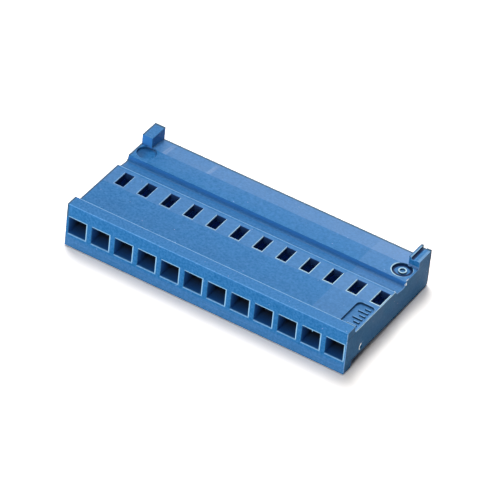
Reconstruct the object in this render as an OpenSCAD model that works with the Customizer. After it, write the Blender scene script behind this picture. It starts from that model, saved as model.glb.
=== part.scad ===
// Crimp connector housing: one moulded piece that takes a row of crimped wire terminals.
// X runs along the row, Y from the wire face to the mating face, Z is up.
// The origin is at the centre of the underside of the bounding box. All sizes are in millimetres.

/* [Row of terminals] */
// Number of terminal positions in the row
ways = 12; // [2:1:24]
// Distance between neighbouring terminal positions
pitch = 2.54; // [2.2:0.01:5.08]
// Distance from the last terminal position to the side of the housing
end_margin = 1.23; // [1.1:0.01:2.5]

/* [Body] */
// Depth from the wire face to the mating face
body_d = 15; // [12.5:0.1:20]
// Thickness of the body between its deck and its underside
body_t = 3.33; // [2.9:0.01:5]
// Chamfer where the underside meets the mating face
toe_chamfer = 0.3; // [0.1:0.05:0.6]

/* [Rim at the wire face] */
// Thickness of the rim, front to back
rim_d = 1.35; // [0.8:0.05:2.5]
// How far the rim stands above the deck and below the underside
rim_lip = 0.78; // [0.4:0.01:1.4]
// Round on the lower rear corner of the rim
rim_round = 0.35; // [0.1:0.05:0.7]
// Fillet between the back of the rim and the deck
rim_fillet = 0.3; // [0.1:0.05:0.6]

/* [Terminal cavities] */
// Width of a wire entry
cavity_w = 1.88; // [1.2:0.01:2]
// Height of a wire entry
cavity_h = 1.88; // [1.2:0.01:2.3]
// Distance from a window to the shoulder where the contact chamber begins
lance_land = 0.4; // [0.1:0.05:0.7]
// Width of a contact chamber
chamber_w = 1.6; // [1.1:0.01:1.8]
// Height of a contact chamber
chamber_h = 1.56; // [1.1:0.01:1.8]
// Thickness of the wall that stops the terminals at the mating face
mating_wall = 1.3; // [0.9:0.05:2.5]
// Width and height of a square pin entry
pin_entry = 0.95; // [0.7:0.01:1.05]
// Width and height of the lead-in at the mating face
lead_in_w = 1.6; // [1.2:0.05:2]
// Depth of the lead-in
lead_in_d = 0.45; // [0.2:0.05:0.8]

/* [Lance windows] */
// Width of a window along the row
window_w = 0.98; // [0.6:0.01:1.3]
// Depth of a window
window_d = 1.88; // [1:0.01:2.5]
// Offset of the windows from the cavities along the row
window_shift = 0.52; // [-0.6:0.01:0.6]
// Strip of deck between the windows and the groove
window_gap = 0.62; // [0.3:0.01:1.5]

/* [Cross groove and ledge] */
// Width of the groove at deck level
groove_w = 1.83; // [1:0.01:3]
// Length of the slope at the front of the groove
groove_run = 0.35; // [0.1:0.05:0.8]
// Depth of the groove at the foot of its front slope
groove_front_depth = 0.4; // [0.1:0.01:0.6]
// Depth of the groove at its rear wall
groove_rear_depth = 0.6; // [0.2:0.01:0.65]
// Fillet at the foot of the groove's rear wall
groove_fillet = 0.4; // [0.05:0.05:0.5]
// Depth of the ledge from the groove to the mating face
ledge_d = 4.57; // [3.5:0.01:6]
// Length of the slope at the rear of the ledge
slope_d = 2.4; // [0.5:0.05:3]
// Fall of that slope at the mating face
slope_drop = 0.36; // [0.05:0.01:0.5]

/* [End posts] */
// Width of a post along the row
post_w = 1.15; // [0.8:0.01:1.6]
// Depth of a post
post_d = 2.25; // [1:0.05:3.2]
// Height of a post above the deck
post_h = 1.03; // [0.5:0.01:2]
// Width of the ridge along the inner side of the slotted post
ridge_w = 0.26; // [0.2:0.01:0.5]
// Fall from the ridge to the outer strip of the slotted post
ridge_drop = 0.2; // [0.05:0.01:0.4]
// Width of the slot beside the ridge
slot_w = 0.35; // [0.15:0.01:0.4]
// Depth of the slot below the outer strip
slot_d = 0.1; // [0.03:0.01:0.2]

/* [Shallow recesses] */
// Diameter of the round recess in front of each post
disc_d = 2; // [1:0.05:2.1]
// Depth of a round recess
disc_depth = 0.28; // [0.05:0.01:0.3]
// Deck between a round recess and the side
disc_wall = 0.2; // [0.1:0.01:0.6]
// Deck between a round recess and the groove
disc_gap = 0.37; // [0.1:0.01:1]
// Width of the marking recess
panel_w = 1.88; // [1.2:0.02:1.9]
// Depth of the marking recess
panel_depth = 0.3; // [0.05:0.01:0.35]
// Deck between the marking recess and the side
panel_wall = 0.2; // [0.1:0.01:0.8]
// Deck between the marking recess and the windows
panel_gap = 0.6; // [0.2:0.05:1.5]
// Round on the rear corners of the marking recess
panel_round = 0.5; // [0.1:0.05:0.55]
// Diameter of the gate dimple on the side
gate_d = 0.45; // [0.2:0.05:0.8]
// Depth of the gate dimple
gate_depth = 0.1; // [0.03:0.01:0.12]
// Distance from the back of the rim to the gate dimple
gate_gap = 1.5; // [0.6:0.05:4]
// Height of the gate dimple above the underside
gate_rise = 0.7; // [0.5:0.05:1.5]

/* [Hidden] */
$fn = 48;
plastic = [0.18, 0.43, 0.71];
// Cutters run past the surface they open by this much
slack = 0.5;
// Straight pieces that make up the groove's fillet
fillet_steps = 10;
// Most of the groove's rear wall that its fillet may take up
fillet_share = 0.8;
body_w = (ways - 1) * pitch + 2 * end_margin;
side_x = body_w / 2;
front_y = -body_d / 2;
rear_y = body_d / 2;
rim_y = front_y + rim_d;
rim_h = body_t + 2 * rim_lip;
under_z = rim_lip;
deck_z = rim_lip + body_t;
row_z = rim_lip + body_t / 2;
groove_rear_y = rear_y - ledge_d;
groove_front_y = groove_rear_y - groove_w;
floor_tilt = atan((groove_rear_depth - groove_front_depth) / (groove_w - groove_run));
foot_half = (90 - floor_tilt) / 2;
foot_r = min(groove_fillet, fillet_share * groove_rear_depth * tan(foot_half));
foot_z = deck_z - groove_rear_depth + foot_r / tan(foot_half);
window_rear_y = groove_front_y - window_gap;
window_front_y = window_rear_y - window_d;
shoulder_y = window_rear_y + lance_land;
chamber_end_y = rear_y - mating_wall;
post_y = rear_y - post_d;
post_top_z = deck_z + post_h;
strip_z = post_top_z - ridge_drop;
disc_x = side_x - disc_wall - disc_d / 2;
disc_y = groove_rear_y + disc_gap + disc_d / 2;
panel_front_y = rim_y + rim_fillet;
panel_rear_y = window_front_y - panel_gap;
panel_x = side_x - panel_wall - panel_w;

// Repeats its children at every terminal position
module along_row() {
    for (i = [0 : ways - 1])
        translate([(i - (ways - 1) / 2) * pitch, 0, 0])
            children();
}

// Draws its children in the plane of depth and height, and extrudes them along the row
module across_row(length) {
    rotate([90, 0, 90])
        linear_extrude(height = length, center = true)
            children();
}

// Points of the fillet from the groove's rear wall down to its floor
function groove_foot() = [
    for (i = [0 : fillet_steps])
        let (turn = -(90 + floor_tilt) * i / fillet_steps)
            [groove_rear_y - foot_r + foot_r * cos(turn), foot_z + foot_r * sin(turn)]
];

// Outline of the body from the side: deck, groove, ledge, rear slope and toe chamfer
module body_outline() {
    polygon(concat(
        [
            [front_y, under_z],
            [rear_y - toe_chamfer, under_z],
            [rear_y, under_z + toe_chamfer],
            [rear_y, deck_z - slope_drop],
            [rear_y - slope_d, deck_z],
            [groove_rear_y, deck_z]
        ],
        groove_foot(),
        [
            [groove_front_y + groove_run, deck_z - groove_front_depth],
            [groove_front_y, deck_z],
            [front_y, deck_z]
        ]
    ));
}

// Outline of the rim from the side, with its lower rear corner rounded
module rim_outline() {
    translate([front_y, rim_round])
        square([rim_d, rim_h - rim_round]);
    translate([front_y, 0])
        square([rim_d - rim_round, rim_h]);
    translate([rim_y - rim_round, rim_round])
        circle(r = rim_round);
}

// Fillet in the corner between the back of the rim and the deck
module fillet_outline() {
    translate([rim_y, deck_z])
        difference() {
            square(rim_fillet);
            translate([rim_fillet, rim_fillet])
                circle(r = rim_fillet);
        }
}

// The block that all openings are cut from
module block() {
    across_row(body_w) {
        body_outline();
        rim_outline();
        fillet_outline();
    }
}

// One post at the right rear corner
module post() {
    root_z = row_z;
    translate([side_x - post_w, post_y, root_z])
        cube([post_w, post_d, post_top_z - root_z]);
}

// The right post's top: a ridge at the inner side, then a slot and a lower outer strip
module post_slot() {
    ridge_x = side_x - post_w + ridge_w;
    translate([ridge_x, post_y - slack, strip_z])
        cube([post_w + slack, post_d + 2 * slack, ridge_drop + slack]);
    translate([ridge_x, post_y - slack, strip_z - slot_d])
        cube([slot_w, post_d + 2 * slack, slot_d + slack]);
}

// Round recess in the ledge, partly under the post
module disc_recess() {
    translate([disc_x, disc_y, deck_z - disc_depth])
        cylinder(d = disc_d, h = disc_depth + slack);
}

// Marking recess behind the rim, with rounded rear corners
module panel_recess() {
    straight_d = panel_rear_y - panel_front_y - panel_round;
    translate([panel_x, panel_front_y, deck_z - panel_depth])
        linear_extrude(height = panel_depth + slack) {
            square([panel_w, straight_d]);
            translate([panel_round, 0])
                square([panel_w - 2 * panel_round, straight_d + panel_round]);
            for (corner_x = [panel_round, panel_w - panel_round])
                translate([corner_x, straight_d])
                    circle(r = panel_round);
        }
}

// Small dimple where the mould was filled
module gate_dimple() {
    translate([side_x - gate_depth, rim_y + gate_gap, under_z + gate_rise])
        rotate([0, 90, 0])
            cylinder(d = gate_d, h = gate_depth + slack);
}

// A square bore along the depth, centred on the row
module square_bore(width, height, from_y, to_y) {
    translate([-width / 2, from_y, row_z - height / 2])
        cube([width, to_y - from_y, height]);
}

// Wire entry, contact chamber behind its shoulder, and pin entry
module terminal_cavity() {
    square_bore(cavity_w, cavity_h, front_y - slack, shoulder_y);
    square_bore(chamber_w, chamber_h, shoulder_y - slack, chamber_end_y);
    square_bore(pin_entry, pin_entry, chamber_end_y - slack, rear_y + slack);
}

// Outline of a lead-in that widens towards the mating face
module lead_in_outline() {
    flare = (lead_in_w - pin_entry) / 2 / lead_in_d;
    inner = pin_entry / 2;
    outer = lead_in_w / 2 + flare * slack;
    polygon([
        [-inner, rear_y - lead_in_d],
        [inner, rear_y - lead_in_d],
        [outer, rear_y + slack],
        [-outer, rear_y + slack]
    ]);
}

// Square funnel in front of a pin entry, where two wedges cross
module lead_in() {
    reach = 2 * lead_in_w + 4 * slack;
    translate([0, 0, row_z])
        intersection() {
            linear_extrude(height = reach, center = true)
                lead_in_outline();
            rotate([0, 90, 0])
                linear_extrude(height = reach, center = true)
                    lead_in_outline();
        }
}

// Window from the deck down into the wire entry, where the terminal's lance catches
module lance_window() {
    floor_z = row_z + cavity_h / 4;
    translate([window_shift - window_w / 2, window_front_y, floor_z])
        cube([window_w, window_d, deck_z + slack - floor_z]);
}

module housing() {
    color(plastic)
        difference() {
            union() {
                difference() {
                    block();
                    for (side = [0, 1])
                        mirror([side, 0, 0])
                            disc_recess();
                    panel_recess();
                }
                for (side = [0, 1])
                    mirror([side, 0, 0])
                        post();
            }
            post_slot();
            gate_dimple();
            along_row() {
                terminal_cavity();
                lead_in();
                lance_window();
            }
        }
}

housing();
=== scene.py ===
"""Dressed model of a blue crimp connector housing.

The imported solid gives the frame, in metres: X runs along the row of terminals, Y from the wire face to
the mating face, and Z up. The moulding is rebuilt from that solid with softened edges, the small marks
of its mould are added to it, and a plain studio lights it. Lengths with the factor MM are in metres, and
the other lengths are in millimetres.
"""

import logging
import math
from collections.abc import Iterable, Mapping, Sequence
from dataclasses import dataclass, replace
from enum import Enum, IntEnum, StrEnum
from functools import partial, reduce

import bmesh
import bpy
from mathutils import Matrix, Vector


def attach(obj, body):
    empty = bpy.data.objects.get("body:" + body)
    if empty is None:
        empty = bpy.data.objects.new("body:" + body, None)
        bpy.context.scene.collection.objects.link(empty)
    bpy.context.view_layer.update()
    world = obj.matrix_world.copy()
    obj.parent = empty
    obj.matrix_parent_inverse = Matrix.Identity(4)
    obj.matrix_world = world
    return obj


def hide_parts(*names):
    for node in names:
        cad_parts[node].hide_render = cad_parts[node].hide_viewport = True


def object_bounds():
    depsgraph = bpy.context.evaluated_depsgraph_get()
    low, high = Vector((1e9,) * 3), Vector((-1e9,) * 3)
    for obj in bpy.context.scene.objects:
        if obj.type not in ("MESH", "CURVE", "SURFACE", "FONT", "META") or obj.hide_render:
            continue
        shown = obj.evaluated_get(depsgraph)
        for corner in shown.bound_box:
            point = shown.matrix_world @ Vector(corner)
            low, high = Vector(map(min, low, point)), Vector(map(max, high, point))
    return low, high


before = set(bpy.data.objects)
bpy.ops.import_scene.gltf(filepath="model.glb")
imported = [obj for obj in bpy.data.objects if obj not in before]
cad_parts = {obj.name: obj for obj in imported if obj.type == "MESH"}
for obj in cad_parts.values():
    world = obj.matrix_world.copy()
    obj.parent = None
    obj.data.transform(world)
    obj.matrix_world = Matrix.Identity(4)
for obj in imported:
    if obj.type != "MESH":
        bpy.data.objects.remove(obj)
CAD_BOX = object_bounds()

MM = 0.001
BODY = "root"
NODE = "housing"

# Driving sizes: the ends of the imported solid, a place just behind its wire face, its deck and its openings
(_, FRONT_Y, _), (SIDE_X, REAR_Y, _) = ([end / MM for end in corner] for corner in CAD_BOX)
FACE_Y = FRONT_Y + 0.06
DECK_Z = 4.11
WAYS = 12
PITCH = 2.54
WINDOW_SHIFT = 0.52

Colour = tuple[float, float, float]
Point = tuple[float, float, float]
Socket = bpy.types.NodeSocket
Value = Socket | float
Outputs = bpy.types.bpy_prop_collection

log = logging.getLogger("housing")


class Axis(IntEnum):
    """Axes of the frame, by their place in a vector."""

    X = 0
    Y = 1
    Z = 2


class Facing(Enum):
    """Directions that the face of a rounded edge can look in."""

    FRONT = (0.0, -1.0, 0.0)
    RIGHT = (1.0, 0.0, 0.0)
    UP = (0.0, 0.0, 1.0)


class Skin(IntEnum):
    """Material slots of the moulding, in the order in which they are added."""

    FACE = 0
    EDGE = 1
    BORE = 2
    LIP = 3
    SIDE = 4
    OUTLINE = 5
    FLASH = 6


class Zone(Enum):
    """Paler patches: mould insert marks, a paler rear slope and post tops, and painted light."""

    WINDOW_BAND = "window band"
    RIGHT_END = "right end"
    REAR_SLOPE = "rear slope"
    RIM_SEAM = "rim seam"
    LOWER_RIM = "lower rim"
    POSTS = "posts"
    GROOVE_FLOOR = "groove floor"
    WITNESS = "witness streaks"


class Mark(StrEnum):
    """Masks that change the tone in another way than a patch does; they paint a sheen, highlights and shade.
    """

    PAINTED_SHEEN = "painted sheen"
    PAINTED_HIGHLIGHT = "painted highlight"
    MOUTH_LIP = "mouth lip"
    PAINTED_SHADE = "painted shade"
    DEPTH = "depth"
    WINDOW_WALL = "window wall"
    FRINGE = "fringe"


class Graph:
    """Short ways to fill a shader node tree. HARD is how far a hard edge of a mask is softened."""

    HARD = 0.02

    def __init__(self, tree: bpy.types.NodeTree) -> None:
        """Keeps the tree that the other methods fill."""
        self.tree = tree

    def node(self, kind: str, inputs: Mapping[str, object] | None = None,
             **settings: object) -> bpy.types.Node:
        """Adds a node.

        Args:
            kind: Type name of the node.
            inputs: Outputs of nodes, or constants, for its inputs by name.
            settings: Properties of the node by name.

        Returns:
            The new node.
        """
        made = self.tree.nodes.new(kind)
        for name, setting in settings.items():
            setattr(made, name, setting)
        for name, value in (inputs or {}).items():
            self.feed(made.inputs[name], value)
        return made

    def feed(self, socket: Socket, value: object) -> None:
        """Links an output of a node to an input, or sets a constant there.

        Args:
            socket: The input.
            value: The output or the constant.
        """
        if isinstance(value, Socket):
            self.tree.links.new(value, socket)
        else:
            socket.default_value = value

    def math(self, operation: str, *values: Value) -> Socket:
        """Adds a Math node.

        Args:
            operation: Blender's name for the operation.
            values: Its inputs in order.

        Returns:
            The node's output.
        """
        made = self.node("ShaderNodeMath", operation=operation)
        for socket, value in zip(made.inputs, values):
            self.feed(socket, value)
        return made.outputs[0]

    def product(self, *values: Value) -> Socket:
        """Multiplies values."""
        return reduce(partial(self.math, "MULTIPLY"), values)

    def total(self, *values: Value) -> Socket:
        """Adds values up."""
        return reduce(partial(self.math, "ADD"), values)

    def most(self, *values: Value) -> Socket:
        """Gives the largest of some values."""
        return reduce(partial(self.math, "MAXIMUM"), values)

    def minus(self, first: Value, second: Value) -> Socket:
        """Takes the second value from the first."""
        return self.math("SUBTRACT", first, second)

    def off(self, value: Socket, place: float) -> Socket:
        """Gives how far a value is from a place, on either side of it."""
        return self.math("ABSOLUTE", self.minus(value, place))

    def toward(self, first: Socket, second: Socket, way: tuple[float, float]) -> Socket:
        """Gives how far a point, given by two values, lies along a way."""
        return self.math("MULTIPLY_ADD", first, way[0], self.product(second, way[1]))

    def length(self, first: Socket, second: Socket) -> Socket:
        """Gives how far a point, given by two values, lies from their zero."""
        return self.math("SQRT", self.math("MULTIPLY_ADD", first, first, self.product(second, second)))

    def ramp(self, value: Value, low: float, high: float, out_low: float = 0.0, out_high: float = 1.0,
             smooth: bool = True) -> Socket:
        """Adds a clamped Map Range node.

        Args:
            value: What is mapped.
            low: Value that gives out_low.
            high: Value that gives out_high.
            out_low: Result at low and beyond.
            out_high: Result at high and beyond.
            smooth: Whether the ends of the ramp are eased.

        Returns:
            The node's output.
        """
        ends = {"Value": value, "From Min": low, "From Max": high, "To Min": out_low, "To Max": out_high}
        made = self.node("ShaderNodeMapRange", ends, clamp=True,
                         interpolation_type="SMOOTHSTEP" if smooth else "LINEAR")
        return made.outputs["Result"]

    def fade(self, value: Value, low: float, high: float) -> Socket:
        """Gives 1 up to the low end of a ramp and 0 from its high end on."""
        return self.ramp(value, low, high, 1.0, 0.0)

    def above(self, value: Value, edge: float) -> Socket:
        """Gives 1 where a value is past an edge and 0 before it."""
        return self.ramp(value, edge - self.HARD, edge + self.HARD)

    def below(self, value: Value, edge: float) -> Socket:
        """Gives 1 where a value is before an edge and 0 past it."""
        return self.fade(value, edge, edge + self.HARD)

    def between(self, value: Value, low: float, high: float) -> Socket:
        """Gives 1 where a value lies between two edges and 0 elsewhere."""
        return self.minus(self.above(value, low), self.above(value, high))

    def mix(self, factor: Value, first: object, second: object, clamp: bool = True) -> Socket:
        """Adds a colour Mix node.

        Args:
            factor: How much of the second colour shows.
            first: Colour at factor 0.
            second: Colour at factor 1.
            clamp: Whether the factor is held between 0 and 1.

        Returns:
            The mixed colour.
        """
        made = self.node("ShaderNodeMix", data_type="RGBA", clamp_factor=clamp)
        colours = [socket for socket in made.inputs if socket.type == "RGBA"]
        self.feed(made.inputs[0], factor)
        for socket, colour in zip(colours, (first, second)):
            self.feed(socket, rgba(colour))
        return next(socket for socket in made.outputs if socket.type == "RGBA")


def rgba(value: object) -> object:
    """Adds an alpha of 1 to a plain colour and passes an output of a node on."""
    return value if isinstance(value, Socket) else (*value, 1.0)


def bare_graph(owner: bpy.types.Material | bpy.types.World) -> Graph:
    """Gives a material or a world an empty node tree.

    Args:
        owner: The material or the world.

    Returns:
        A graph that fills the tree.
    """
    owner.use_nodes = True
    owner.node_tree.nodes.clear()
    return Graph(owner.node_tree)


def link_object(name: str, data: bpy.types.ID) -> bpy.types.Object:
    """Puts an object into the scene.

    Args:
        name: Its name.
        data: Its mesh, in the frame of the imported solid, or its light or camera.

    Returns:
        The new object.
    """
    made = bpy.data.objects.new(name, data)
    bpy.context.scene.collection.objects.link(made)
    return made


def keep_piece(piece: bpy.types.Object) -> bpy.types.Object:
    """Lets a piece ride on the housing's body and logs how many faces it has.

    Args:
        piece: The piece in its place.

    Returns:
        The same piece.
    """
    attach(piece, BODY)
    log.info("piece %s with %d faces", piece.name, len(piece.data.polygons))
    return piece


class SurfaceGroup(Graph):
    """A node group that reads the place on the object. It is built once and placed in each material."""

    NAME = ""
    INPUTS: Sequence[str] = ()
    OUTPUTS: Sequence[str] = ()

    def __init__(self) -> None:
        """Makes the group with its sockets and fills it."""
        super().__init__(bpy.data.node_groups.new(self.NAME, "ShaderNodeTree"))
        for way, names in (("INPUT", self.INPUTS), ("OUTPUT", self.OUTPUTS)):
            for name in names:
                self.tree.interface.new_socket(name, in_out=way, socket_type="NodeSocketFloat")
        self.entry = self.node("NodeGroupInput").outputs
        metres = self.node("ShaderNodeTexCoord").outputs["Object"]
        scaled = self.node("ShaderNodeVectorMath", {"Vector": metres, "Scale": 1.0 / MM}, operation="SCALE")
        self.place = scaled.outputs["Vector"]
        self.x, self.y, self.z = self.node("ShaderNodeSeparateXYZ", {"Vector": self.place}).outputs
        self.node("NodeGroupOutput", self.results())

    def results(self) -> dict[str, Socket]:
        """Gives what the group puts out, by the names of its outputs."""
        raise NotImplementedError

    @classmethod
    def put_in(cls, graph: Graph, **values: float) -> Outputs:
        """Places the group in a material.

        Args:
            graph: The material's graph.
            values: The material's own values for the group's inputs, by name.

        Returns:
            The outputs of the group.
        """
        tree = bpy.data.node_groups.get(cls.NAME) or cls().tree
        return graph.node("ShaderNodeGroup", values, node_tree=tree).outputs


class GrainGroup(SurfaceGroup):
    """Node group with the cloudy tone, the mottle, the fine grain and the pale specks of moulded plastic.

    Each noise has its waves per millimetre and how many finer waves are added.
    """

    NAME = "moulded_grain"
    INPUTS = ("Cloud", "Mottle")
    OUTPUTS = ("Cloud", "Mottle", "Grain", "Speck")
    NOISES = {"Cloud": (0.45, 3.0), "Mottle": (4.5, 1.0), "Grain": (9.0, 2.0)}
    NOISE_MEAN = 0.5
    SPECKS_PER_MM = 1.0
    SPECK = (0.022, 0.055)

    def results(self) -> dict[str, Socket]:
        """Gives the noises and the specks.

        Returns:
            The cloud and the mottle around 0 and as strong as the inputs say, the grain and the specks.
        """
        made = {}
        for name, (scale, detail) in self.NOISES.items():
            noise = self.node("ShaderNodeTexNoise", {"Vector": self.place, "Scale": scale, "Detail": detail})
            made[name] = noise.outputs["Fac"]
        for name in self.INPUTS:
            made[name] = self.product(self.minus(made[name], self.NOISE_MEAN), self.entry[name])
        cells = self.node("ShaderNodeTexVoronoi", {"Vector": self.place, "Scale": self.SPECKS_PER_MM})
        near = self.math("DIVIDE", cells.outputs["Distance"], self.SPECKS_PER_MM)
        made["Speck"] = self.fade(near, *self.SPECK)
        return made


class InsertAndLightGroup(SurfaceGroup):
    """Node group with the paler patches: insert marks, a paler rear slope and post tops, and painted light.

    Two numbers are the edges of a patch or the ends of a ramp, and four also say what the ramp gives there.
    """

    NAME = "insert_and_light_patches"
    INPUTS = ("Strength",)
    OUTPUTS = ("Lift",)
    # LOWER_RIM and GROOVE_FLOOR paint light on the lower wire face and on the groove floor.
    LIFT = {Zone.WINDOW_BAND: 0.09, Zone.RIGHT_END: 0.09, Zone.REAR_SLOPE: 0.145, Zone.RIM_SEAM: 0.14,
            Zone.LOWER_RIM: 0.085, Zone.POSTS: 0.035, Zone.GROOVE_FLOOR: 0.045, Zone.WITNESS: 0.26}
    UPPER_Y = -6.0
    UPPER_Z = (3.3, 4.3)
    BAND_Y = (-1.72, 0.8)
    END_X = 10.1
    FLOOR_RISE = (1.7, 2.1)
    FLOOR_FALL = (2.45, 2.6)
    SLOPE_Y = 5.12
    SLOPE_SHARE = (-14.0, 14.0, 0.83, 1.42)
    POST_Y = 5.2
    POST_Z = 4.88
    WIRE_FACE = (FACE_Y, FACE_Y - 0.04)
    LOWER_Z = (0.95, 1.35)
    SEAM_Z = 0.72
    SEAM_BAND = (0.0, 0.05)
    SEAM_PER_MM = 0.35
    SEAM_BREAKS = (0.42, 0.62)
    WITNESS_X = (-12.68, -7.78)
    WITNESS_BAND = (0.1, 0.32)
    WITNESS_SHARE = (6.2, 7.3, 1.0, 0.35)

    def results(self) -> dict[str, Socket]:
        """Gives all the patches together.

        Returns:
            How far the patches lift the tone towards the pale colour.
        """
        upper = self.product(self.between(self.z, *self.UPPER_Z), self.above(self.y, self.UPPER_Y))
        slope = self.product(self.above(self.y, self.SLOPE_Y), upper)
        floor = self.product(self.ramp(self.y, *self.FLOOR_RISE), self.fade(self.y, *self.FLOOR_FALL))
        front = self.ramp(self.y, *self.WIRE_FACE)
        masks = {
            Zone.WINDOW_BAND: self.product(self.between(self.y, *self.BAND_Y), upper),
            Zone.RIGHT_END: self.product(self.above(self.x, self.END_X), upper),
            Zone.REAR_SLOPE: self.product(self.ramp(self.x, *self.SLOPE_SHARE), slope),
            Zone.RIM_SEAM: self.product(self.seam(), front),
            Zone.LOWER_RIM: self.product(self.fade(self.z, *self.LOWER_Z), front),
            Zone.POSTS: self.product(self.above(self.z, self.POST_Z), self.above(self.y, self.POST_Y)),
            Zone.GROOVE_FLOOR: self.product(floor, upper),
            Zone.WITNESS: self.product(self.witness(), slope),
        }
        lift = self.total(*(self.product(mask, self.LIFT[zone]) for zone, mask in masks.items()))
        return {"Lift": self.product(lift, self.entry["Strength"])}

    def witness(self) -> Socket:
        """Gives the pale streaks, one along each witness ridge, which fade towards the mating face."""
        off = self.math("MINIMUM", *(self.off(self.x, place) for place in self.WITNESS_X))
        return self.product(self.fade(off, *self.WITNESS_BAND), self.ramp(self.y, *self.WITNESS_SHARE))

    def seam(self) -> Socket:
        """Gives the broken pale line low on the wire face.

        Returns:
            The mask of the line at its height, on every side.
        """
        along = {"W": self.x, "Scale": self.SEAM_PER_MM}
        waves = self.node("ShaderNodeTexNoise", along, noise_dimensions="1D")
        line = self.fade(self.off(self.z, self.SEAM_Z), *self.SEAM_BAND)
        return self.product(line, self.ramp(waves.outputs["Fac"], *self.SEAM_BREAKS))


class MarkGroup(SurfaceGroup):
    """Node group that paints a sheen, highlights on lips, and shade in recesses, in openings and along
    edges.

    Two numbers are the edges of a mark or the ends of a ramp, and four also say what the ramp gives there.
    A share is the strongest that a mark gets.
    """

    NAME = "mould_marks"
    INPUTS = ("Gate",)
    OUTPUTS = tuple(Mark)
    RIGHT_SIDE = SIDE_X - 0.06
    # Painted sheen, brighter towards the right end on top and brighter on the left post's front
    SHEEN_X = (-14.0, 15.0)
    UPPER_SIDE_Z = 3.4
    POST_SHEEN = (-1.0, 1.0, 0.9, 0.0)
    # Wire cavities
    MOUTH_HALF = 0.94
    MOUTH_Y = FRONT_Y + 0.1
    MOUTH_Z = 2.445
    MOUTH_BAND = (0.125, 0.175)
    MOUTH_BOTTOM = 0.05 - MOUTH_HALF
    MOUTH_LOW_SHARE = (-MOUTH_HALF, 0.15 - MOUTH_HALF, 0.45, 1.0)
    MOUTH_TOP_SHARE = (MOUTH_HALF, MOUTH_HALF + 0.03, 1.0, 0.75)
    # Windows
    WINDOW_Y = (-1.45, 0.53)
    WINDOW_Z = 4.0
    ROOF_Z = (3.36, 3.38)
    WINDOW_BAND = (0.1, 0.155)
    WINDOW_FRONT = -1.45
    WINDOW_REAR = 0.48
    WINDOW_LEFT = -0.43
    WINDOW_RIGHT = 0.49
    WINDOW_SHARE = (0.15, 1.0)
    DEPTH = (0.15, 1.7)
    DEPTH_END = (-2.45, -1.45)
    # Rim and groove
    RIM_LIP = (-6.3, -6.2)
    RIM_LIP_END = -6.1
    RIM_LIP_Z = 4.75
    RIM_LIP_SHARE = 0.55
    GROOVE_LIP = (1.0, 1.16)
    GROOVE_LIP_Z = DECK_Z - 0.07
    GROOVE_LIP_SHARE = 0.3
    GROOVE_Z = (3.45, 3.93)
    GROOVE_START = 1.08
    GROOVE_ENDS = (SIDE_X - 0.1, SIDE_X - 0.05)
    FRONT_FOOT = (1.55, 1.9, 0.24, 0.0)
    REAR_FOOT = (2.45, 2.65)
    REAR_FOOT_SHARE = (2.84, 2.9, 0.28, 0.0)
    # Round recesses
    DISC = (14.0, 4.3)
    DISC_LIP = (1.07, 1.15)
    DISC_LIP_Z = DECK_Z - 0.05
    DISC_WAY = (-0.8, -0.6)
    DISC_TOWARD = (0.0, 0.7)
    RING = (0.74, 0.82)
    RING_END = (1.03, 1.06)
    RING_Z = 3.95
    RING_MIDDLE = (13.84, 4.6)
    RING_SHARE = (-1.0, 1.0, 0.35, 1.0)
    LEFT_FLOOR = (-14.45, -13.7, 0.48, 0.0)
    # Posts
    POST_FRONT = (5.2, 5.3)
    RIDGE_X = 14.2
    RIDGE_Z = 5.05
    RIDGE_SHARE = 0.52
    RIDGE_LEFT = (13.95, 14.11)
    RIDGE_LEFT_Z = 4.98
    SLOT_X = 14.28
    SLOT_END = (14.46, 14.58)
    SLOT_Z = (4.78, 5.09)
    STRIP_X = (14.85, 15.05)
    STRIP_END = (SIDE_X - 0.02, SIDE_X - 0.01)
    STRIP_Z = 4.88
    STRIP_SHARE = 0.24
    # Painted glints at the injection dimple and on the burr, on the right side
    DIMPLE = (-4.57, 1.5)
    DIMPLE_ARC = (0.15, 0.41)
    DIMPLE_WAY = (-0.9, 0.3)
    DIMPLE_TOWARD = (0.06, 0.18)
    BURR = (3.02, 3.8)
    BURR_RUN = (0.06, 0.12)
    BURR_RISE = (0.1, 0.22)
    # Painted shade along edges
    REAR_FRINGE = (7.18, 7.28)
    REAR_END = (REAR_Y - 0.015, REAR_Y - 0.005)
    LEFT_FRINGE = (-14.98, -15.04)
    LEFT_END = (0.005 - SIDE_X, 0.015 - SIDE_X)
    LOWER_FRINGE = (0.24, 0.08)
    RIM_REAR_Y = -6.15
    UNDER_Z = 0.78
    UPPER_FRINGE = (3.92, 4.06)
    UPPER_SHARE = (0.53, 1.2, 0.45, 0.0)

    def results(self) -> dict[str, Socket]:
        """Gives the marks.

        Returns:
            One mask for each mark.
        """
        window_run = self.between(self.y, *self.WINDOW_Y)
        return {
            Mark.PAINTED_SHEEN: self.painted_sheen(),
            # Painted highlights on the lips of windows, posts and the right recess, and painted glints on
            # the right side
            Mark.PAINTED_HIGHLIGHT: self.most(self.window_lip(), self.post_lip(), self.side_lip(), self.disc_lip()),
            # Painted highlights around the wire cavities, behind the rim's top and along the groove's front
            Mark.MOUTH_LIP: self.most(self.mouth_lip(), self.rim_lip()),
            # Painted shade at the feet of the recesses' walls, beside the ridge and in the groove
            Mark.PAINTED_SHADE: self.most(self.recess_shade(), self.ridge_foot(), self.groove_foot()),
            Mark.DEPTH: self.depth(),
            # Painted shade on the windows' walls above the cavities' roofs
            Mark.WINDOW_WALL: self.product(window_run, self.ramp(self.z, *self.ROOF_Z)),
            Mark.FRINGE: self.fringe(),
        }

    def right_side(self) -> Socket:
        """Gives 1 on the right side and 0 elsewhere."""
        return self.above(self.x, self.RIGHT_SIDE)

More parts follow.
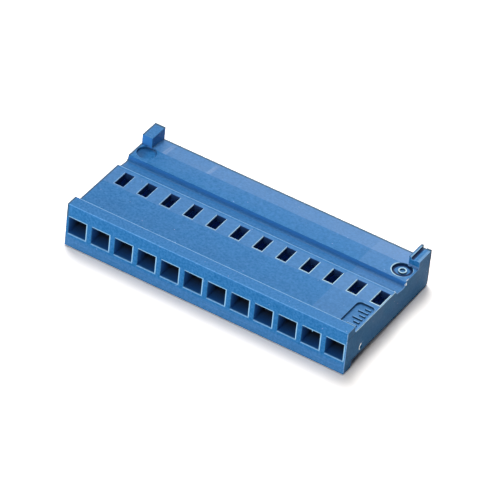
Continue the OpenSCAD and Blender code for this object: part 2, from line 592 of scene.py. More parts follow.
    def in_row(self, shift: float) -> Socket:
        """Gives the place along the row from the middle of the nearest opening."""
        return self.math("WRAP", self.minus(self.x, PITCH / 2 + shift), PITCH / 2, -PITCH / 2)

    def from_disc(self) -> tuple[Socket, Socket]:
        """Gives the place from the middle of the nearest round recess, outwards and to the rear."""
        return self.minus(self.math("ABSOLUTE", self.x), self.DISC[0]), self.minus(self.y, self.DISC[1])

    def painted_sheen(self) -> Socket:
        """Gives the painted sheen, growing towards the right end on top, as strong as the input says.

        Returns:
            The mask, which falls the other way on the fronts of the posts.
        """
        near = self.product(self.ramp(self.x, *self.SHEEN_X, smooth=False), self.above(self.z, self.UPPER_SIDE_Z))
        post = self.product(self.between(self.y, *self.POST_FRONT), self.above(self.z, DECK_Z))
        change = self.minus(self.ramp(self.x, *self.POST_SHEEN), near)
        near = self.math("MULTIPLY_ADD", post, change, near)
        return self.product(near, self.above(self.y, FACE_Y), self.entry["Gate"])

    def mouth_lip(self) -> Socket:
        """Gives the painted highlight, a pale line over, under and to the right of each wire cavity.

        Returns:
            The mask of the line.
        """
        local = self.in_row(0.0)
        rise = self.minus(self.z, self.MOUTH_Z)
        off = self.most(self.minus(local, self.MOUTH_HALF), self.minus(rise, self.MOUTH_HALF),
                        self.minus(self.MOUTH_BOTTOM, rise))
        line = self.product(self.fade(off, *self.MOUTH_BAND), self.above(local, -self.MOUTH_HALF))
        share = self.product(self.ramp(rise, *self.MOUTH_LOW_SHARE), self.ramp(rise, *self.MOUTH_TOP_SHARE))
        return self.product(line, share, self.below(self.y, self.MOUTH_Y))

    def window_lip(self) -> Socket:
        """Gives the painted highlight, a pale line before and beside each window.

        Returns:
            The mask of the line, stronger towards the right end.
        """
        local = self.in_row(WINDOW_SHIFT)
        off = self.most(self.minus(self.WINDOW_FRONT, self.y), self.minus(self.WINDOW_LEFT, local),
                        self.minus(local, self.WINDOW_RIGHT))
        line = self.product(self.fade(off, *self.WINDOW_BAND), self.below(self.y, self.WINDOW_REAR))
        share = self.ramp(self.x, *self.SHEEN_X, *self.WINDOW_SHARE, smooth=False)
        return self.product(line, share, self.above(self.z, self.WINDOW_Z))

    def rim_lip(self) -> Socket:
        """Gives faint painted highlights along the rear of the rim's top and along the front of the groove.

        Returns:
            The mask of both lines.
        """
        rim = self.product(self.ramp(self.y, *self.RIM_LIP), self.below(self.y, self.RIM_LIP_END))
        rim = self.product(rim, self.above(self.z, self.RIM_LIP_Z), self.RIM_LIP_SHARE)
        groove = self.product(self.between(self.y, *self.GROOVE_LIP), self.above(self.z, self.GROOVE_LIP_Z))
        return self.most(rim, self.product(groove, self.GROOVE_LIP_SHARE))

    def post_lip(self) -> Socket:
        """Gives the painted highlights on the ridge's top and the outer part of the strip on the right post.

        Returns:
            The mask of both.
        """
        ridge = self.product(self.above(self.z, self.RIDGE_Z), self.above(self.x, self.RIDGE_X))
        strip = self.product(self.ramp(self.x, *self.STRIP_X), self.fade(self.x, *self.STRIP_END))
        strip = self.product(strip, self.above(self.z, self.STRIP_Z), self.STRIP_SHARE)
        both = self.most(self.product(ridge, self.RIDGE_SHARE), strip)
        return self.product(both, self.above(self.y, self.POST_FRONT[0]))

    def side_lip(self) -> Socket:
        """Gives the painted glints: a pale arc at the injection dimple and the burr at the groove's right
        end.

        Returns:
            The mask of both.
        """
        ahead, rise = self.minus(self.y, self.DIMPLE[0]), self.minus(self.z, self.DIMPLE[1])
        arc = self.product(self.between(self.length(ahead, rise), *self.DIMPLE_ARC),
                           self.ramp(self.toward(ahead, rise, self.DIMPLE_WAY), *self.DIMPLE_TOWARD))
        burr = self.product(self.fade(self.off(self.y, self.BURR[0]), *self.BURR_RUN),
                            self.fade(self.off(self.z, self.BURR[1]), *self.BURR_RISE))
        return self.product(self.most(arc, burr), self.right_side())

    def disc_lip(self) -> Socket:
        """Gives the painted highlight on the lip before the right round recess.

        Returns:
            The mask of the lip.
        """
        aside, ahead = self.from_disc()
        lip = self.product(self.fade(self.length(aside, ahead), *self.DISC_LIP),
                           self.ramp(self.toward(aside, ahead, self.DISC_WAY), *self.DISC_TOWARD))
        return self.product(lip, self.above(self.x, 0.0), self.above(self.z, self.DISC_LIP_Z))

    def recess_shade(self) -> Socket:
        """Gives the painted shade, a dark ring at the foot of the wall of each round recess.

        Returns:
            The mask of the rings, wider on one side in the right recess and weaker in the left one.
        """
        radius = self.length(*self.from_disc())
        middle_x, middle_y = self.RING_MIDDLE
        shifted = self.length(self.minus(self.x, middle_x), self.minus(self.y, middle_y))
        foot = self.product(self.ramp(shifted, *self.RING), self.above(self.x, 0.0))
        ring = self.most(foot, self.ramp(radius, *self.RING))
        ring = self.product(ring, self.ramp(self.x, *self.RING_SHARE))
        # A painted shadow over the left part of the left recess's floor
        ring = self.most(ring, self.ramp(self.x, *self.LEFT_FLOOR))
        return self.product(ring, self.fade(radius, *self.RING_END), self.below(self.z, self.RING_Z))

    def ridge_foot(self) -> Socket:
        """Gives the painted shade, a dark line beside the ridge on the right post."""
        line = self.product(self.above(self.x, self.SLOT_X), self.fade(self.x, *self.SLOT_END))
        return self.product(line, self.between(self.z, *self.SLOT_Z), self.above(self.y, self.POST_FRONT[1]))

    def groove_foot(self) -> Socket:
        """Gives the painted shade at the feet of the groove's walls.

        Returns:
            The mask of both feet.
        """
        rear = self.product(self.ramp(self.y, *self.REAR_FOOT), self.ramp(self.y, *self.REAR_FOOT_SHARE))
        front = self.product(self.ramp(self.y, *self.FRONT_FOOT), self.above(self.y, self.GROOVE_START))
        inside = self.fade(self.math("ABSOLUTE", self.x), *self.GROOVE_ENDS)
        return self.product(self.most(rear, front), inside, self.between(self.z, *self.GROOVE_Z))

    def depth(self) -> Socket:
        """Gives how deep a place lies in the openings, from 0 to 1, and 0 past the windows' fronts."""
        # Painted shade that grows deeper in the openings
        inside = self.ramp(self.minus(self.y, FRONT_Y), *self.DEPTH, smooth=False)
        return self.product(inside, self.fade(self.y, *self.DEPTH_END))

    def fringe(self) -> Socket:
        """Gives the painted shade along the rear and left edges, the right side's foot and top, and the
        ridge.

        Returns:
            The mask of the line.
        """
        rear = self.product(self.ramp(self.y, *self.REAR_FRINGE), self.fade(self.y, *self.REAR_END))
        left = self.product(self.ramp(self.x, *self.LEFT_FRINGE), self.ramp(self.x, *self.LEFT_END))
        left = self.product(left, self.above(self.z, self.UPPER_SIDE_Z))
        bottom = self.product(self.above(self.y, self.RIM_REAR_Y), self.UNDER_Z)
        lower = self.ramp(self.minus(self.z, bottom), *self.LOWER_FRINGE)
        upper = self.product(self.between(self.z, *self.UPPER_FRINGE), self.ramp(self.y, *self.UPPER_SHARE))
        side = self.product(self.most(lower, upper), self.right_side())
        ridge = self.product(self.between(self.x, *self.RIDGE_LEFT), self.above(self.z, self.RIDGE_LEFT_Z))
        return self.most(rear, left, side, ridge)


@dataclass(frozen=True)
class MouldedPlastic:
    """Finish of the moulding: blue plastic with a fine matt grain.

    The colours are the plain one, the brighter one of the painted sheen, the pale one of patches and specks,
    the ones of painted highlights on lips and on the cavities' lips, the one of painted shade in corners and
    in the depth of the openings, the one of painted shade along edges and on the windows' walls, and the
    greyer one that tints the light it throws on other surfaces.
    """

    name: str
    colour: Colour
    bright: Colour
    pale: Colour
    painted_light: Colour
    mouth: Colour
    deep: Colour
    shade: Colour
    bounce: Colour
    roughness: float
    specular: float
    grain_depth: float
    cloud: float
    mottle: float
    sheen: float
    inserts_and_light: float
    shine: bool
    sunken: bool

    def build(self) -> bpy.types.Material:
        """Makes the material.

        Returns:
            The material with its node tree filled.
        """
        made = bpy.data.materials.new(self.name)
        graph = bare_graph(made)
        grain = GrainGroup.put_in(graph, Cloud=self.cloud, Mottle=self.mottle)
        inserts_and_light = InsertAndLightGroup.put_in(graph, Strength=self.inserts_and_light)
        marks = MarkGroup.put_in(graph, Gate=self.sheen)
        rough = graph.total(grain["Cloud"], self.roughness)
        bump = graph.node("ShaderNodeBump", {"Distance": self.grain_depth, "Height": grain["Grain"]})
        sockets = {
            "Base Color": self.base(graph, grain, inserts_and_light, marks),
            # Where the finish shines, the painted highlight turns metallic and rough, to mirror the
            # surroundings as a glint.
            "Roughness": graph.most(rough, marks[Mark.PAINTED_HIGHLIGHT]) if self.shine else rough,
            "Metallic": marks[Mark.PAINTED_HIGHLIGHT] if self.shine else 0.0,
            "Specular IOR Level": self.specular,
            "Normal": bump.outputs["Normal"],
        }
        shader = graph.node("ShaderNodeBsdfPrincipled", sockets)
        graph.node("ShaderNodeOutputMaterial", {"Surface": shader.outputs["BSDF"]})
        return made

    def base(self, graph: Graph, grain: Outputs, inserts_and_light: Outputs, marks: Outputs) -> Socket:
        """Mixes the colours.

        Args:
            graph: The material's graph.
            grain: Outputs of the grain.
            inserts_and_light: Outputs of the patches, insert marks and painted light.
            marks: Outputs of the marks.

        Returns:
            The base colour.
        """
        # The painted sheen leans the tone towards the brighter colour, together with the grain's cloud and
        # mottle.
        tone = graph.total(marks[Mark.PAINTED_SHEEN], grain["Cloud"], grain["Mottle"])
        base = graph.mix(tone, self.colour, self.bright, clamp=False)
        base = graph.mix(graph.total(grain["Speck"], inserts_and_light["Lift"]), base, self.pale)
        # Painted highlights on lips and around the cavities, and painted shade at the feet of walls
        layers = [(Mark.PAINTED_HIGHLIGHT, self.painted_light), (Mark.MOUTH_LIP, self.mouth), (Mark.PAINTED_SHADE, self.deep)]
        if self.sunken:
            # Painted shade in the depth of the openings and on the windows' walls
            layers += [(Mark.DEPTH, self.deep), (Mark.WINDOW_WALL, self.shade)]
        else:
            # Painted shade along edges
            layers += [(Mark.FRINGE, self.shade)]
        for mark, colour in layers:
            base = graph.mix(marks[mark], base, colour)
        if self.sunken:
            return base
        return graph.mix(graph.node("ShaderNodeLightPath").outputs["Is Diffuse Ray"], base, self.bounce)


FACE_FINISH = MouldedPlastic(
    name="housing_blue", colour=(0.019, 0.188, 0.49), bright=(0.07, 0.30, 0.69), pale=(0.40, 0.56, 0.86),
    painted_light=(0.55, 0.84, 1.0), mouth=(0.36, 0.7, 1.0), deep=(0.004, 0.03, 0.11), shade=(0.035, 0.115, 0.21),
    bounce=(0.105, 0.18, 0.31), roughness=0.5, specular=0.2, grain_depth=0.004 * MM, cloud=0.3, mottle=1.4,
    sheen=0.4, inserts_and_light=1.0, shine=False, sunken=False)
# Rounded edges are paler than the faces: a painted highlight along them.
EDGE_FINISH = replace(
    FACE_FINISH, name="housing_edge", colour=(0.085, 0.33, 0.72), bright=(0.2, 0.5, 0.9),
    roughness=0.42, specular=0.3, cloud=0.6)
# Finish of the openings' insides, with painted shade in their depth and on the windows' walls
BORE_BLUE = (0.042, 0.245, 0.69)
BORE_FINISH = replace(
    FACE_FINISH, name="housing_bore", colour=BORE_BLUE, bright=(0.048, 0.265, 0.71), painted_light=BORE_BLUE,
    mouth=BORE_BLUE, deep=(0.034, 0.05, 0.085), shade=(0.016, 0.055, 0.175), roughness=0.6, specular=0.12,
    mottle=0.4, sheen=0.0, inserts_and_light=0.0, sunken=True)
# Pale finish of lips and some rounded edges: a painted highlight.
LIP_FINISH = replace(
    FACE_FINISH, name="housing_lip", colour=(0.2, 0.46, 0.86), bright=(0.5, 0.8, 1.0),
    roughness=0.42, specular=0.3, cloud=0.6, sheen=1.0, inserts_and_light=0.0)
# The sides' near-white painted highlight is the glint at the dimple and on the burr, made metallic by shine.
SIDE_FINISH = replace(
    FACE_FINISH, name="housing_side", colour=(0.02, 0.18, 0.42), bright=(0.05, 0.26, 0.53),
    painted_light=(0.95, 1.0, 1.0), shade=(0.012, 0.07, 0.14), roughness=0.55, specular=0.18, sheen=0.0, inserts_and_light=0.0,
    shine=True)
# Dark finish of recess walls, flanks and outer edges: painted shade.
OUTLINE_FINISH = replace(
    FACE_FINISH, name="housing_outline", colour=(0.02, 0.085, 0.18), bright=(0.03, 0.12, 0.24),
    shade=(0.02, 0.085, 0.17), sheen=0.0, inserts_and_light=0.0)
# Near-white finish of the flash slivers: a painted glint.
FLASH_FINISH = replace(
    FACE_FINISH, name="housing_flash", colour=(0.85, 0.93, 1.0), bright=(1.0, 1.0, 1.0), sheen=0.0,
    inserts_and_light=0.0)
FINISHES = {Skin.FACE: FACE_FINISH, Skin.EDGE: EDGE_FINISH, Skin.BORE: BORE_FINISH, Skin.LIP: LIP_FINISH,
            Skin.SIDE: SIDE_FINISH, Skin.OUTLINE: OUTLINE_FINISH, Skin.FLASH: FLASH_FINISH}


def material(skin: Skin) -> bpy.types.Material:
    """Gives the material of a slot and builds it the first time."""
    finish = FINISHES[skin]
    return bpy.data.materials.get(finish.name) or finish.build()


@dataclass(frozen=True)
class Block:
    """A box in the frame."""

    low: Point
    high: Point

    def holds(self, place: Vector) -> bool:
        """Tells whether a place in metres lies in the box."""
        return all(a < p < b for a, p, b in zip(self.low, place / MM, self.high))


def any_holds(blocks: Iterable[Block], place: Vector) -> bool:
    """Tells whether a place in metres lies in one of some boxes."""
    return any(block.holds(place) for block in blocks)


@dataclass(frozen=True)
class PaintedEdge:
    """Rounded edges in another finish: paler for a painted highlight, darker for painted shade, or plain.

    They lie in a box and, where a direction is given, their normals go at least so far along it.
    """

    where: Block
    skin: Skin
    facing: Facing | None = None
    least: float = 0.0

    def holds(self, face: bmesh.types.BMFace) -> bool:
        """Tells whether the face of a rounded edge is in the place and looks the right way."""
        looks = self.facing is None or face.normal.dot(Vector(self.facing.value)) > self.least
        return looks and self.where.holds(face.calc_center_median())


# Where the edges of the wire cavities and of the windows are rounded
MOUTHS = Block((-15.1, -7.6, 1.3), (15.1, -7.3, 3.6))
WINDOWS = Block((-15.1, -1.6, 4.0), (15.1, 0.6, 4.2))


@dataclass
class HousingShell:
    """The moulding itself, with softened edges.

    Attributes:
        near: How far the middle of a face may lie from the level of its side.
        square_on: Least part of a normal along an axis for a face that looks along it.
        upright: Largest part of a normal along Z for the face of a wall.
        bores: Insides of the openings and the groove's rear wall, where edges stay sharp.
        recess_walls: Walls of the recesses, in a dark finish that paints shade.
        plain_blue: Parts of the left post in the brighter blue of the openings, which paints light on them.
        fine: Where the rounding of edges is finest.
        kept_sharp: Other places where edges stay sharp.
        mouths: Where the rounding of edges is widest.
        painted_light: Rounded edges in other finishes, most painting highlights and shade. The first that
            holds a face counts.
    """

    name: str = "housing_shell"
    ways: int = WAYS
    pitch: float = PITCH
    window_shift: float = WINDOW_SHIFT
    front_y: float = FRONT_Y
    rear_y: float = REAR_Y
    deck_z: float = DECK_Z
    side_x: float = SIDE_X
    gate_y: float = -4.65
    near: float = 0.005
    square_on: float = 0.99
    upright: float = 0.5
    weld: float = 0.0001 * MM
    flat_angle: float = math.radians(0.3)
    sharp_angle: float = math.radians(32)
    crease_angle: float = math.radians(50)
    mouth_round: float = 0.085 * MM
    edge_round: float = 0.06 * MM
    fine_round: float = 0.035 * MM
    edge_steps: int = 3
    bores: Sequence[Block] = (
        Block((-15.0, -7.45, 1.4), (15.0, 7.45, 3.45)),
        Block((-15.0, -1.5, 1.4), (15.05, 0.55, 4.05)),
        Block((-15.1, 2.8, 3.6), (15.1, 2.95, 4.1)),
    )
    recess_walls: Sequence[Block] = (
        Block((13.0, -5.9, 3.82), (15.1, -1.9, 4.1)),
        Block((12.9, 3.2, 3.84), (15.1, 5.35, 4.1)),
    )
    plain_blue: Sequence[Block] = (
        Block((-14.7, 5.2, 4.25), (-14.4, 5.3, 4.45)),
        Block((-14.1, 5.9, 4.2), (-14.0, 6.1, 4.4)),
    )
    fine: Sequence[Block] = (
        Block((-15.3, 3.1, 3.7), (-12.8, 7.6, 5.2)),
        Block((12.8, 3.1, 3.7), (15.3, 7.6, 5.2)),
        Block((15.0, -5.2, 1.0), (15.3, -4.0, 2.0)),
    )
    kept_sharp: Sequence[Block] = (
        Block((-14.8, 5.05, 3.6), (-13.2, 5.4, 4.2)),
        Block((13.2, 5.05, 3.6), (14.8, 5.4, 4.2)),
    )
    mouths: Sequence[Block] = (MOUTHS, WINDOWS)
    # Skin.LIP paints a highlight on these edges; Skin.OUTLINE, and Skin.BORE on the lower edges, paint
    # shade.
    painted_light: Sequence[PaintedEdge] = (
        PaintedEdge(MOUTHS, Skin.FACE, Facing.RIGHT, 0.15),
        PaintedEdge(Block((-15.1, -7.6, 1.3), (15.1, -7.3, 1.9)), Skin.EDGE, Facing.UP, 0.15),
        PaintedEdge(MOUTHS, Skin.LIP, Facing.FRONT),
        PaintedEdge(WINDOWS, Skin.BORE, Facing.FRONT, 0.15),
        PaintedEdge(WINDOWS, Skin.LIP, Facing.UP),
        PaintedEdge(Block((-15.3, 2.8, 4.0), (15.3, 3.05, 4.2)), Skin.FACE, Facing.FRONT, 0.1),
        PaintedEdge(Block((-15.3, -6.3, 4.7), (15.3, -6.0, 5.0)), Skin.LIP, Facing.UP, 0.2),
        PaintedEdge(Block((15.1, -6.0, 4.0), (15.3, 1.2, 4.2)), Skin.LIP, Facing.RIGHT, 0.2),
        PaintedEdge(Block((15.1, -7.6, 0.2), (15.3, -7.4, 4.8)), Skin.LIP),
        PaintedEdge(Block((15.05, -5.1, 1.1), (15.3, -4.2, 1.85)), Skin.SIDE),
        PaintedEdge(Block((12.9, 3.2, 4.0), (14.2, 5.1, 4.2)), Skin.LIP, Facing.UP),
        PaintedEdge(Block((14.35, 4.5, 4.0), (15.1, 5.2, 4.2)), Skin.LIP, Facing.UP),
        PaintedEdge(Block((-15.1, 5.2, 3.6), (-13.9, 7.3, 5.2)), Skin.FACE),
        PaintedEdge(Block((-15.3, 7.3, 3.5), (15.3, 7.6, 5.2)), Skin.OUTLINE),
        PaintedEdge(Block((-15.3, -7.6, 0.1), (-15.1, 7.6, 5.2)), Skin.OUTLINE),
        PaintedEdge(Block((-15.3, -7.6, -0.1), (15.3, -7.3, 0.2)), Skin.OUTLINE),
        PaintedEdge(Block((-15.3, -7.4, -0.1), (15.3, 7.6, 1.2)), Skin.BORE),
    )

    def split(self, work: bmesh.types.BMesh, seat: Axis, level: float, along: Axis,
              places: Iterable[float]) -> None:
        """Cuts a flat side through the middle of its openings, so that no flat face keeps a hole.

        Args:
            work: The solid.
            seat: Axis that the side faces.
            level: Place of the side along that axis.
            along: Axis along which the openings lie.
            places: Places of the cuts along it.
        """
        unit = Matrix.Identity(3)[along]
        for place in places:
            faces = [face for face in work.faces if abs(face.normal[seat]) > self.square_on
                     and abs(face.calc_center_median()[seat] / MM - level) < self.near]
            geom = {*faces, *(e for f in faces for e in f.edges), *(v for f in faces for v in f.verts)}
            cut = bmesh.ops.bisect_plane(work, geom=list(geom), dist=self.weld, plane_co=unit * place * MM,
                                         plane_no=unit)
            for part in cut["geom_cut"]:
                if isinstance(part, bmesh.types.BMEdge):
                    part.seam = True

    def solid(self) -> bmesh.types.BMesh:
        """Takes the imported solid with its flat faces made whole.

        Returns:
            A mesh to work on, with the weight of each edge's rounding.
        """
        work = bmesh.new()
        work.from_mesh(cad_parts[NODE].data)
        bmesh.ops.remove_doubles(work, verts=work.verts, dist=self.weld)
        row = [(i - (self.ways - 1) / 2) * self.pitch for i in range(self.ways)]
        self.split(work, Axis.Y, self.front_y, Axis.X, row)
        self.split(work, Axis.Y, self.rear_y, Axis.X, row)
        self.split(work, Axis.Z, self.deck_z, Axis.X, [x + self.window_shift for x in row])
        self.split(work, Axis.X, self.side_x, Axis.Y, [self.gate_y])
        bmesh.ops.dissolve_limit(work, angle_limit=self.flat_angle, verts=work.verts, edges=work.edges,
                                 delimit={"SEAM"})
        weight = work.edges.layers.float.new("bevel_weight_edge")
        for edge in work.edges:
            middle = (edge.verts[0].co + edge.verts[1].co) / 2
            sharp = any_holds((*self.bores, *self.kept_sharp), middle)
            if edge.calc_face_angle(0.0) >= self.sharp_angle and not sharp:
                edge[weight] = self.round_at(middle) / self.mouth_round
        return work

    def round_at(self, place: Vector) -> float:
        """Gives the radius of the edges at a place."""
        plain = self.mouth_round if any_holds(self.mouths, place) else self.edge_round
        return self.fine_round if any_holds(self.fine, place) else plain

    def soften(self, work: bmesh.types.BMesh) -> bpy.types.Mesh:
        """Rounds the weighted edges.

        Args:
            work: The solid from solid(), which is freed.

        Returns:
            The mesh with its rounded edges in the slot of Skin.EDGE.
        """
        mesh = bpy.data.meshes.new("sharp_housing")
        work.to_mesh(mesh)
        work.free()
        for skin in Skin:
            mesh.materials.append(material(skin))
        carrier = link_object("sharp_housing", mesh)
        bevel = carrier.modifiers.new("soft_edges", "BEVEL")
        bevel.limit_method = "WEIGHT"
        bevel.width = self.mouth_round
        bevel.segments = self.edge_steps
        bevel.use_clamp_overlap = False
        bevel.material = Skin.EDGE
        soft = bpy.data.meshes.new_from_object(carrier.evaluated_get(bpy.context.evaluated_depsgraph_get()))
        bpy.data.objects.remove(carrier)
        bpy.data.meshes.remove(mesh)
        soft.name = self.name
        return soft

    def skin_of(self, face: bmesh.types.BMFace) -> Skin:
        """Picks the slot of a face after the rounding.

        Args:
            face: The face, in Skin.EDGE where it belongs to a rounded edge.

        Returns:
            The slot.
        """
        middle = face.calc_center_median()
        if face.material_index == Skin.EDGE:
            bends = [edge for edge in face.edges if edge.calc_face_angle(0.0) > self.flat_angle]
            if sum(edge.is_convex for edge in bends) < len(bends) / 2:
                return Skin.FACE
            return next((edge.skin for edge in self.painted_light if edge.holds(face)), Skin.EDGE)
        # Parts of the left post take the openings' brighter blue, which paints light on them.
        if any_holds((*self.bores, *self.plain_blue), middle):
            return Skin.BORE
        # Walls of the recesses take the dark finish of painted shade.
        if abs(face.normal.z) < self.upright and any_holds(self.recess_walls, middle):
            return Skin.OUTLINE
        return Skin.SIDE if abs(middle.x) > self.side_x * MM - self.mouth_round else Skin.FACE

    def sort_faces(self, mesh: bpy.types.Mesh) -> None:
        """Gives every face its slot and shades the rounded edges smoothly.

        Args:
            mesh: The mesh from soften().
        """
        work = bmesh.new()
        work.from_mesh(mesh)
        skins = [self.skin_of(face) for face in work.faces]
        for face, skin in zip(work.faces, skins):
            face.smooth = True
            face.material_index = skin
        for edge in work.edges:
            edge.seam = False
            edge.smooth = edge.calc_face_angle(0.0) < self.crease_angle
        work.to_mesh(mesh)
        work.free()

    def build(self) -> bpy.types.Object:
        """Makes the shell in its finishes.

        Returns:
            The shell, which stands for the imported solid.
        """
        mesh = self.soften(self.solid())
        self.sort_faces(mesh)
        shell = link_object(self.name, mesh)
        normals = shell.modifiers.new("even_normals", "WEIGHTED_NORMAL")
        normals.keep_sharp = True
        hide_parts(NODE)
        return keep_piece(shell)


class Loft:
    """Small solids made of loops of points that are joined one after another."""

    UP = 0.7

    def __init__(self, name: str) -> None:
        """Starts with no solid."""
        self.name = name
        self.work = bmesh.new()

    def add(self, loops: Sequence[Sequence[Point]], ring: bool = False) -> None:
        """Adds one closed solid.

        Args:
            loops: Loops of as many points each.
            ring: Whether the last loop is joined to the first, in place of a cap on each of them.
        """
        rows = [[self.work.verts.new(Vector(point) * MM) for point in loop] for loop in loops]
        pairs = list(zip(rows, rows[1:])) + ([(rows[-1], rows[0])] if ring else [])
        count = len(rows[0])
        made = [self.work.faces.new((low[i], low[(i + 1) % count], high[(i + 1) % count], high[i]))
                for low, high in pairs for i in range(count)]
        if not ring:
            made += [self.work.faces.new(rows[0][::-1]), self.work.faces.new(rows[-1])]
        bmesh.ops.recalc_face_normals(self.work, faces=made)

    def build(self, skin: Skin, flank: Skin | None = None) -> bpy.types.Object:
        """Makes the piece of all the solids.

        Args:
            skin: Its finish.
            flank: The finish of the faces that don't look up, where it is another one.

        Returns:
            The piece.
        """
        mesh = bpy.data.meshes.new(self.name)
        self.work.to_mesh(mesh)
        self.work.free()
        mesh.materials.append(material(skin))
        if flank is not None:
            mesh.materials.append(material(flank))
            for face in mesh.polygons:
                face.material_index = int(face.normal.z < self.UP)
        return keep_piece(link_object(self.name, mesh))


@dataclass
class MarkingBars:
    """Plain raised bars in the marking recess, long and short by turns."""

    name: str = "marking_bars"
    right_x: float = 14.7
    long: float = 1.04
    short: float = 0.62
    first_y: float = -5.05
    step: float = 0.52
    count: int = 6
    stroke: float = 0.2
    draft: float = 0.04
    floor_z: float = 3.81
    height: float = 0.14
    sink: float = 0.02

    def build(self) -> bpy.types.Object:
        """Makes the bars.

        Returns:
            The piece with all the bars.
        """
        loft = Loft(self.name)
        for i in range(self.count):
            length = self.short if i % 2 else self.long
            y = self.first_y + i * self.step
            loops = []
            for z, inset in ((self.floor_z - self.sink, 0.0), (self.floor_z, 0.0),
                             (self.floor_z + self.height, self.draft)):
                x0, x1 = self.right_x - length + inset, self.right_x - inset
                y0, y1 = y - self.stroke / 2 + inset, y + self.stroke / 2 - inset
                loops.append([(x0, y0, z), (x1, y0, z), (x1, y1, z), (x0, y1, z)])
            loft.add(loops)
        # The bars' tops take the paler edge finish, a painted highlight, and their flanks the dark one of
        # painted shade.
        return loft.build(Skin.EDGE, Skin.OUTLINE)


@dataclass
class DiscRing:
    """Plain raised ring on the floor of the right round recess."""

    name: str = "disc_ring"
    centre: tuple[float, float] = (14.0, 4.34)
    outer: float = 0.45
    inner: float = 0.25
    draft: float = 0.03
    floor_z: float = 3.83
    height: float = 0.16
    sink: float = 0.02
    steps: int = 40

    def build(self) -> bpy.types.Object:
        """Makes the ring.

        Returns:
            The piece.
        """
        top = self.floor_z + self.height
        section = ((self.inner, self.floor_z - self.sink), (self.outer, self.floor_z - self.sink),
                   (self.outer - self.draft, top), (self.inner + self.draft, top))
        loops = []
        for i in range(self.steps):
            turn = math.tau * i / self.steps
            loops.append([(self.centre[0] + r * math.cos(turn), self.centre[1] + r * math.sin(turn), z)
                          for r, z in section])
        loft = Loft(self.name)
        loft.add(loops, ring=True)
        # The ring's top takes the pale lip finish, a painted highlight, and its flanks the dark one of
        # painted shade.
        return loft.build(Skin.LIP, Skin.OUTLINE)


@dataclass
class WitnessRidges:
    """Low pale ridges down the rear slope, where two insert pieces of the mould met."""

    name: str = "witness_ridges"
    places: Sequence[float] = (-12.7, -7.7)
    start_y: float = 5.2
    end_y: float = 7.4
    slope_y: float = 5.1
    deck_z: float = DECK_Z
    fall: float = 0.15
    width: float = 0.07
    height: float = 0.02
    sink: float = 0.02

    def build(self) -> bpy.types.Object:
        """Makes the ridges.

        Returns:
            The piece with both ridges.
        """
        loft = Loft(self.name)
        for x in self.places:
            loops = []
            for y in (self.start_y, self.end_y):
                z = self.deck_z - self.fall * (y - self.slope_y)
                loops.append([(x - self.width / 2, y, z - self.sink), (x + self.width / 2, y, z - self.sink),
                              (x, y, z + self.height)])
            loft.add(loops)
        # The ridges take the paler edge finish, a painted highlight.
        return loft.build(Skin.EDGE)


@dataclass(frozen=True)
class Sliver:
    """One thin sliver of flash: where it starts, where it ends, and its girth."""

    start: Point
    end: Point
    girth: float


@dataclass
class FlashSlivers:
    """Slivers of plastic that squeezed out between the parts of the mould, near-white for painted glints."""

    name: str = "flash_slivers"
    slivers: Sequence[Sliver] = (
        Sliver((15.14, 3.08, 4.11), (15.15, 3.52, 4.11), 0.05),
        Sliver((15.13, 2.9, 3.86), (15.15, 2.88, 3.62), 0.05),
        Sliver((15.0, 1.14, 4.09), (15.15, 1.1, 4.08), 0.05),
        Sliver((15.13, 7.3, 4.9), (15.13, 7.38, 5.1), 0.07),
        Sliver((0.78, -7.455, 4.84), (0.92, -7.455, 4.84), 0.04),
        Sliver((5.34, -7.455, 4.84), (5.46, -7.455, 4.84), 0.04),
        Sliver((11.5, -7.44, 3.43), (11.56, -7.46, 3.22), 0.04),
    )
    thickest: float = 0.4
    taper: float = 0.35
    sides: int = 6

    def build(self) -> bpy.types.Object:
        """Makes the slivers, thin at both ends.

        Returns:
            The piece with all the slivers.
        """
        loft = Loft(self.name)
        for sliver in self.slivers:
            start, end = Vector(sliver.start), Vector(sliver.end)
            along = (end - start).normalized()
            side = along.orthogonal().normalized()
            other = along.cross(side)
            loops = []
            for share, girth in ((0.0, self.taper), (self.thickest, 1.0), (1.0, self.taper)):
                middle = start.lerp(end, share)
                turns = (math.tau * i / self.sides for i in range(self.sides))
                loops.append([tuple(middle + (side * math.cos(turn) + other * math.sin(turn)) * girth
                                    * sliver.girth) for turn in turns])
            loft.add(loops)
        return loft.build(Skin.FLASH)


def direction(azimuth: float, elevation: float) -> Vector:
    """Gives the unit vector from the housing towards a place around it.

    Args:
        azimuth: Degrees from the front towards the right end of the row.
        elevation: Degrees above the row.

    Returns:
        The vector.
    """
    a, e = math.radians(azimuth), math.radians(elevation)
    return Vector((math.sin(a) * math.cos(e), -math.cos(a) * math.cos(e), math.sin(e)))


@dataclass(frozen=True)
class Softbox:
    """A square soft light that points at the housing."""

    name: str
    azimuth: float
    elevation: float
    level: float
    size: float = 160 * MM
    distance: float = 400 * MM

    def build(self) -> bpy.types.Object:
        """Makes the light.

        Returns:
            The light, set so that a level of 1 lights a facing surface to its own colour.
        """
        data = bpy.data.lights.new(self.name, "AREA")
        data.shape = "SQUARE"
        data.size = self.size
        data.energy = self.level * (math.pi * self.distance) ** 2
        made = link_object(self.name, data)
        back = direction(self.azimuth, self.elevation)
        turn = back.to_track_quat("Z", "Y").to_matrix().to_4x4()
        made.matrix_world = Matrix.Translation(back * self.distance) @ turn
        made.visible_camera = False
        return made


